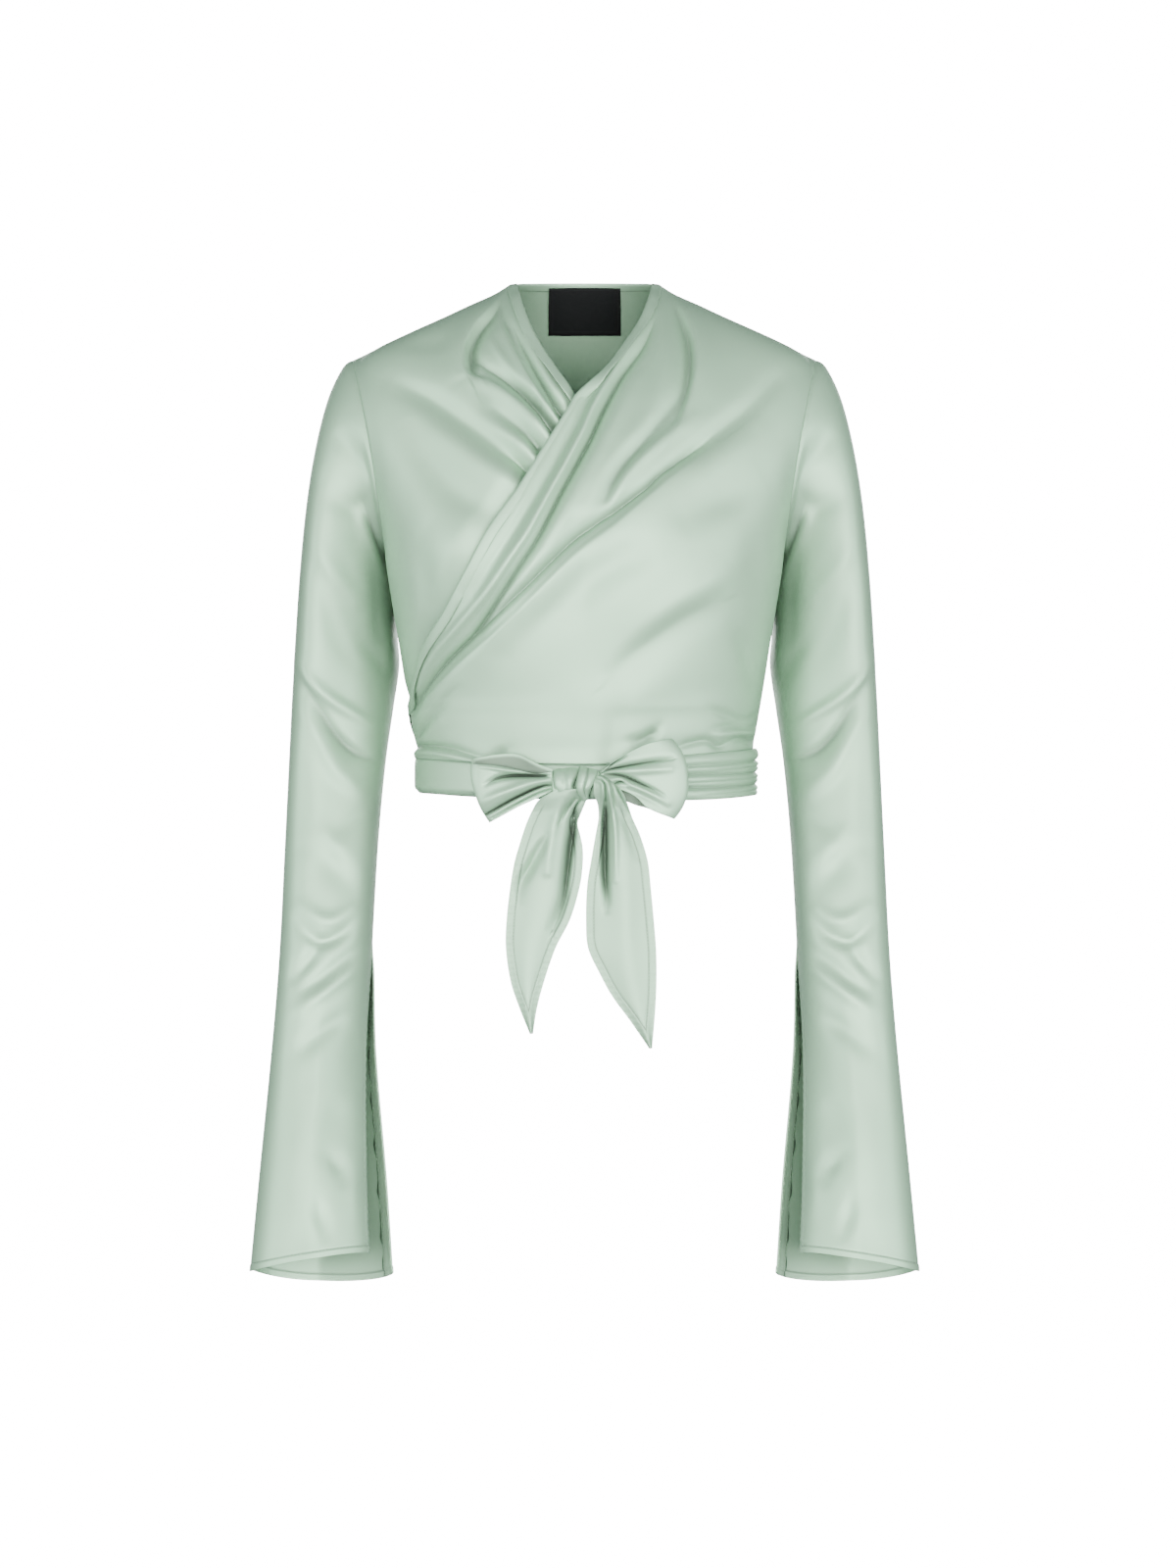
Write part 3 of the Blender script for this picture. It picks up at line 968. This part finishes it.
BOW_FOLDS = [
    # left loop: the deep hollow, the creases below it, and the rolls between
    (2.4, 2.2, 0.3, ((-30.3, -393.5, -4), (-37.4, -393.4, -7), (-46.5, -393.3, -8), (-56.8, -393.5, -7.5),
        (-65.9, -394.7, -5.5), (-73, -397.2, -3), (-78.2, -400.3, -1))),
    (2.8, 1.1, 0.6, ((-24.5, -401, -2.4), (-30.9, -401.4, -4.5), (-36.1, -403, -6), (-42.6, -405.6, -6.5),
        (-51.7, -410, -6.5), (-59.4, -414, -6.5), (-67.2, -418.4, -6), (-75, -422.7, -5),
        (-78.8, -424.9, -4))),
    (1.0, 1.0, 0.6, ((-24.5, -403.2, -1.5), (-33.5, -405.7, -2.6), (-42.6, -409.8, -2.8),
        (-53, -415.1, -2.8), (-63.3, -420.8, -2.4), (-72.4, -426.7, -1.5))),
    (3.5, 4.5, 0, ((-28.4, -397.4, 1.2), (-41.3, -399.5, 2.4), (-55.5, -404.1, 3), (-69.8, -409.1, 2.4),
        (-81.4, -414.2, 1.2))),
    (1.5, 1.6, 0, ((-27.7, -391.8, 1.4), (-42.6, -392.1, 1.8), (-55.5, -390.2, 2), (-69.8, -387.8, 1.6),
        (-82.7, -386.3, 0.8))),
    # right loop: creases that spread from the knot
    (1.0, 2.4, 0.6, ((13.3, -390.9, -3.4), (20.8, -388.5, -5.4), (31.2, -386.5, -5.4),
        (44.1, -384.2, -4.6), (57.1, -382.1, -3.2), (70, -380.4, -1.2))),
    (1.1, 1.3, 0.6, ((12, -390.4, -3.4), (18.3, -386.5, -5), (24.7, -382.3, -4.4), (32.5, -377.5, -1.5))),
    (2.8, 1.1, 0.5, ((15.7, -392.2, -2.6), (23.4, -392, -5), (31.2, -393.3, -5.8), (39, -396.5, -5.8),
        (46.7, -400.3, -4.4), (54.5, -403.9, -2.4), (62.3, -408.4, -0.8))),
    (1.2, 1.6, 0.5, ((22.8, -400.3, -2), (26, -398.7, -4.4), (29.3, -398.3, -4), (32.8, -400.3, -1.4))),
    (3.2, 3.2, 0, ((33.8, -402.6, -1), (45.4, -407.8, -2.4), (58.4, -414.2, -1.6), (66.2, -418.1, -0.6))),
    (3, 3.4, 0, ((17, -390.3, 0.8), (31.2, -389.9, 1.8), (49.3, -389, 2.2), (68.7, -388.1, 1))),
    (3, 3, 0, ((26, -396.1, 0.8), (37.7, -401.6, 2.2), (51.9, -408.4, 2.2), (64.9, -415.5, 1))),
]


def bow_loop(name, edges, way, bulge):
    """A loop that runs out in its front layer and back in its back layer. way is 1 to the right."""
    u, v = shares(240, 100)
    in_front = u < 0.5
    a = np.sin(np.pi * u) ** 0.9
    to_back = smooth(u, 0.44, 0.56)
    zlow = mix(edges("zlow", a), edges("zunder", a), to_back)
    xtop = mix(edges("xtop", a), edges("xback", a), to_back)
    ztop = mix(edges("ztop", a), edges("zback", a), to_back)
    belly = (1 - np.abs(2 * v - 1) ** 2.5) * bulge * smooth(a, 0.3, 1) * way
    x, z = mix(edges("xlow", a), xtop, v) + belly, mix(zlow, ztop, v)
    gap = mix(LOOP_GAP, LOOP_OPEN, np.sin(np.pi * u) ** 0.8) * -np.cos(np.pi * u)
    rounding = 1.6 * (1 - (2 * v - 1) ** 2) * np.where(in_front, -1, 1) * smooth(a, 0, 0.4)
    y = BOW_Y + gap + rounding - fold_height(BOW_FOLDS, x, z) * np.where(in_front, 1, -0.5)
    inside = 0.85 * smooth(ztop - z, 0.4, 3.4) * (1 - smooth(a, 0.94, 1))
    points = np.stack([x, y, z], -1)[:, ::way]
    shade = np.where(in_front, crease_shade(BOW_FOLDS, x, z, 0.5, 3.6, 0.65), inside)[:, ::way]
    cloth(f"{name}_satin", points, [name], thick=TIE_CLOTH, shade=shade)


bow_loop("bow_loop_right", RIGHT_LOOP, 1, 12.0)
bow_loop("bow_loop_left", LEFT_LOOP, -1, 4.6)

# The knot: a wrapped lump, and the end that passes over it
KNOT_FOLDS = [
    (1.4, 1.4, 0.7, ((-4, -390.3, -2.4), (-6.1, -394.8, -4), (-7.6, -398.7, -4.8), (-8.5, -402.6, -5),
        (-7.1, -406, -3))),
    (2, 3, 0, ((-15.4, -388.3, -0.8), (-16.2, -396.1, -1.4), (-14.8, -404.5, -0.8))),
    (2.6, 2.6, 0, ((-11.8, -389, 0.8), (-12.2, -396.1, 1.4), (-11.8, -404.1, 0.8))),
    (1.0, 1.0, 0.6, ((-25, -388.6, -2), (-24.6, -394.8, -2.6), (-24, -401.9, -2.6), (-22.1, -405.2, -2))),
    (1.6, 1.6, 0.6, ((10.2, -392.2, -2.4), (7.1, -398.7, -4), (5.2, -405.2, -4), (3.5, -411.4, -3))),
]
STRAP = Table("t x z y half", [
    (0, 3.6, -387.4, -121, 7.4), (0.2, 2.6, -391.4, -127.6, 7.2), (0.5, 0.2, -398.5, -130.4, 6.6),
    (0.75, -1.2, -405, -129.4, 5.2), (1.0, 0.6, -413, -122, 1.8)])


def bow_knot():
    """The wrapped lump of the knot."""
    u, v = shares(160, 110)
    turn, lean = np.pi + 2 * np.pi * u, np.pi * (v - 0.5)
    flat = np.cos(lean) ** 0.2
    x, y, z = KNOT_MIDDLE
    x = x + KNOT_HALF * np.sin(lean)
    y = y - KNOT_DEPTH * flat * np.cos(turn)
    z = z + KNOT_HEIGHT * flat * np.sin(turn)
    points = np.stack([x, y, z], -1)
    ridge = fold_height(KNOT_FOLDS, points[..., 0], points[..., 2])
    points += np.stack([np.zeros_like(turn), -np.cos(turn), np.sin(turn)], -1) * ridge[..., None]
    shade = crease_shade(KNOT_FOLDS, points[..., 0], points[..., 2], 0.8, 4.5)
    points = points.transpose(1, 0, 2)[:, ::-1]
    cloth("bow_knot_satin", points, ["bow_knot"], thick=0.5, shade=shade.T[:, ::-1])


def knot_strap():
    """The end that passes over the knot, with a crease down its middle."""
    u, v = shares(60, 90)
    centre = np.stack([STRAP("x", v), STRAP("y", v), STRAP("z", v)], -1)
    across = unit(np.cross(unit(np.gradient(centre, axis=0)), [0, 1, 0]))
    width = 2 * u - 1
    points = centre + across * (STRAP("half", v) * width)[..., None]
    crease = groove(width, mix(-0.1, 0.25, v), 0.16) * (1 - smooth(v, 0.75, 1))
    points[..., 1] += 4.0 * width ** 4 + 1.6 * crease
    shade = 0.5 * crease + 0.5 * smooth(np.abs(width), 0.84, 1)
    cloth("bow_knot_strap", points[:, ::-1], thick=0.5, shade=shade[:, ::-1])


bow_knot()
knot_strap()

# The tails
TAIL = "z left right"
LEFT_TAIL = Table(TAIL, [
    (-598, -43.4, -40.8), (-578, -51.5, -37.6), (-557, -58.5, -32.1), (-530, -62.4, -22.8),
    (-507, -61.8, -11.2), (-480, -58.7, -3.4), (-462, -55.6, -1.2), (-450, -52.2, -1.4), (-441, -49.4, -3.2),
    (-431, -46, -5.6), (-421, -41.4, -1.8), (-412, -35.4, 1.8), (-404, -22, 4)])
RIGHT_TAIL = Table(TAIL, [
    (-609.5, 51.2, 53.6), (-587, 35.6, 55.6), (-568, 21.8, 56.8), (-550, 11.9, 57.2), (-530, 2.8, 56.8),
    (-510, 1.2, 55.2), (-481, 2, 52.5), (-461, 5.1, 50.2), (-441, 8.6, 44.2), (-427, 11.1, 38),
    (-416.8, 10.5, 34.4), (-408, 7.6, 31), (-400, 7.4, 24), (-393.5, 8.6, 15)])
TAIL_FOLDS = [
    # left tail: the soft hollow, the deep fold that shades its right side, and its top creases
    (4, 5, 0.1, ((-29.9, -441.9, -1.4), (-36.1, -451.3, -4), (-43.1, -465.2, -6), (-49.3, -477.7, -4),
        (-51.7, -490.1, -1.2))),
    (5, 2.4, 0.25, ((-6.6, -424.9, -5), (-8.2, -431.1, -8), (-9.1, -440.4, -10), (-11, -452.8, -10),
        (-12.5, -465.2, -9), (-14.1, -477.7, -8), (-15.9, -490.1, -6.4), (-19.8, -502.5, -4.4),
        (-25.2, -515, -2))),
    (1.4, 2.2, 0.5, ((-1.8, -409.1, -2), (-7.6, -411.9, -4), (-12.8, -417.5, -4.6), (-16.7, -423.3, -3.6),
        (-20.1, -431.1, -1.4))),
    (1.2, 1.2, 0.5, ((-0.5, -410.6, -2), (-4.8, -414.2, -4), (-7.6, -419.4, -4), (-8.9, -425.9, -3))),
    (4, 4, 0, ((-15.4, -411.7, 0.8), (-20.6, -420.7, 2), (-24.5, -433.7, 2.6), (-27.7, -451.8, 2.4),
        (-29.7, -469.9, 1.6))),
    # right tail: the deep fold inside its left border, and the layers at its top
    (3.4, 3.4, 0.2, ((16.4, -414.2, -3), (16.4, -420.7, -7), (16.2, -431.1, -9.5), (16.2, -444, -10),
        (16.2, -457, -10), (16.4, -469.9, -9.4), (17, -480.3, -7.5), (18, -490.6, -4.4),
        (17.7, -499.7, -1.6))),
    (1.0, 1.4, 0.6, ((8.9, -395.1, -2.4), (13.3, -396.6, -4), (15.7, -400.3, -4.4), (16.4, -406.5, -3.6),
        (16.7, -412.9, -3))),
    (1.2, 1.6, 0.6, ((11.8, -393, -2.6), (18.3, -395.6, -4.4), (21.1, -401.6, -4.8), (22.1, -409.1, -4),
        (23.9, -418.1, -2))),
    (1.0, 1.0, 0.6, ((16.3, -392.6, -2.4), (23.4, -399, -3.8), (27.1, -406.5, -3.6), (31.7, -415.5, -2),
        (35.1, -423.3, -1))),
    (1.6, 2, 0, ((9.8, -396.1, 1.4), (14.1, -398.7, 2.4), (14.6, -405.2, 2.6), (14.1, -415.5, 2.4),
        (13.3, -431.1, 2), (11.8, -451.8, 1.6), (11.1, -469.9, 1))),
    (2, 2.4, 0, ((14.1, -394.3, 1.6), (19, -398.1, 2.6), (19.8, -406.5, 3), (22.1, -420.7, 3.2),
        (24.2, -436.3, 3), (24.7, -457, 2.2), (24.7, -476.4, 1))),
    (4, 5, 0, ((28, -420.7, -0.8), (33.8, -432.4, -2.6), (37.7, -444, -2.2), (41.6, -457, -0.8))),
    (9, 9, 0, ((30.7, -454.4, 0.8), (33.8, -482.3, 1.8), (33.8, -518.1, 1.4), (36.9, -549.1, 0.6))),
]


def from_edge(line, x, z):
    """How far points lie from a tail's edge, measured across it."""
    return np.abs(x - line) / np.hypot(1, np.gradient(line[:, 0], z[:, 0])[:, None])


def tail(name, edges, middle_y):
    """A hanging tie end with hemmed sides. Its top lies 9 mm further forward, on the knot."""
    u, v = shares(140, 220)
    z = mix(edges.rows[0, 0], edges.rows[-1, 0], v)
    left, right = edges("left", z), edges("right", z)
    x = mix(left, right, u)
    edge = np.minimum(from_edge(left, x, z), from_edge(right, x, z))
    puckers = 0.09 * np.sin(z * 1.3) * (1 - smooth(edge, 5, 8))
    hemmed = smooth(-z, 414, 424)
    raised = fold_height(TAIL_FOLDS, x, z) + (hem(edge, TAIL_HEM) + puckers) * hemmed
    y = middle_y - 9 * smooth(z, -426, -400) - raised + 1.5 * np.cos(2 * np.pi * u)
    points = np.stack([x, y, z], -1)
    seam = 0.7 * seam_shade(edge, TAIL_HEM) + 0.08 * (1 - smooth(edge, 5.4, 6))
    shade = 0.08 + TAIL_SHADE * crease_shade(TAIL_FOLDS, x, z, 0.5, 8.0, 1.0) + hemmed * seam
    cloth(f"{name}_satin", points, [name], thick=TIE_CLOTH, shade=shade)
    out = normals(points)[:, 70]
    for which, grid in (("left", points), ("right", points[:, ::-1])):
        wide = (run_along(grid)[:, -1] > 2 * TAIL_HEM + 1) & (z[:, 0] < -420)
        seam_line = inset(grid, TAIL_HEM)[wide] + out[wide] * 0.3
        stitches(f"{name}_stitches_{which}", seam_line, out[wide], 2.6, 1.8, 0.36)


tail("tie_tail_left", LEFT_TAIL, -116)
tail("tie_tail_right", RIGHT_TAIL, -118)

# Camera, light and ground, in metres
camera = bpy.data.objects.new("camera", bpy.data.cameras.new("camera"))
bpy.context.scene.collection.objects.link(camera)
camera.location = (0.0028, -4.0, -0.400)
camera.rotation_euler = (math.pi / 2, 0, 0)
camera.data.sensor_width = 36
camera.data.lens = 112.5
camera.data.clip_end = 50
bpy.context.scene.camera = camera


GARMENT_MIDDLE = (0, 0, -0.4)
WARM, COOL = (1.0, 0.985, 0.95), (0.97, 1.0, 0.98)


def area_light(name, place, width, height, watts, colour):
    """A rectangular light that faces the middle of the garment."""
    light = bpy.data.lights.new(name, "AREA")
    light.shape = "RECTANGLE"
    light.size, light.size_y = width, height
    light.energy = watts
    light.color = colour
    lamp = bpy.data.objects.new(name, light)
    lamp.location = place
    aim = np.array(GARMENT_MIDDLE) - np.array(place)
    flat = math.hypot(aim[0], aim[1])
    lamp.rotation_euler = (math.atan2(flat, -aim[2]), 0, math.atan2(-aim[0], aim[1]))
    bpy.context.scene.collection.objects.link(lamp)


area_light("key", (0.2, -3.3, -0.42), 2.6, 1.1, 265, WARM)
area_light("left", (-2.6, -1.9, -0.4), 1.2, 1.5, 95, COOL)
area_light("right", (2.6, -1.9, -0.4), 1.2, 1.5, 95, COOL)
area_light("back", (0, 3.4, 0.3), 3.0, 1.4, 150, COOL)

# A pale floor that goes over into a pale dome, seen by the camera only
FLOOR_Z, DOME_RADIUS = -1.35, 14.0
paper = Shader("paper")
paper.fill(paper.surface, {"Base Color": (0.95, 0.95, 0.95, 1), "Roughness": 0.9,
                           "Emission Color": (1, 1, 1, 1), "Emission Strength": 16.0})
bm = bmesh.new()
bmesh.ops.create_uvsphere(bm, u_segments=64, v_segments=32, radius=DOME_RADIUS)
for vert in bm.verts:
    vert.co.z = max(vert.co.z, FLOOR_Z)
studio_mesh = bpy.data.meshes.new("studio")
bm.to_mesh(studio_mesh)
bm.free()
studio = shown("studio", studio_mesh, "paper")
studio.visible_diffuse = studio.visible_glossy = studio.visible_shadow = False

world = bpy.data.worlds.new("world")
world.use_nodes = True
sky = world.node_tree.nodes["Background"]
sky.inputs["Color"].default_value = (0.86, 0.93, 1, 1)
sky.inputs["Strength"].default_value = 0.32
bpy.context.scene.world = world
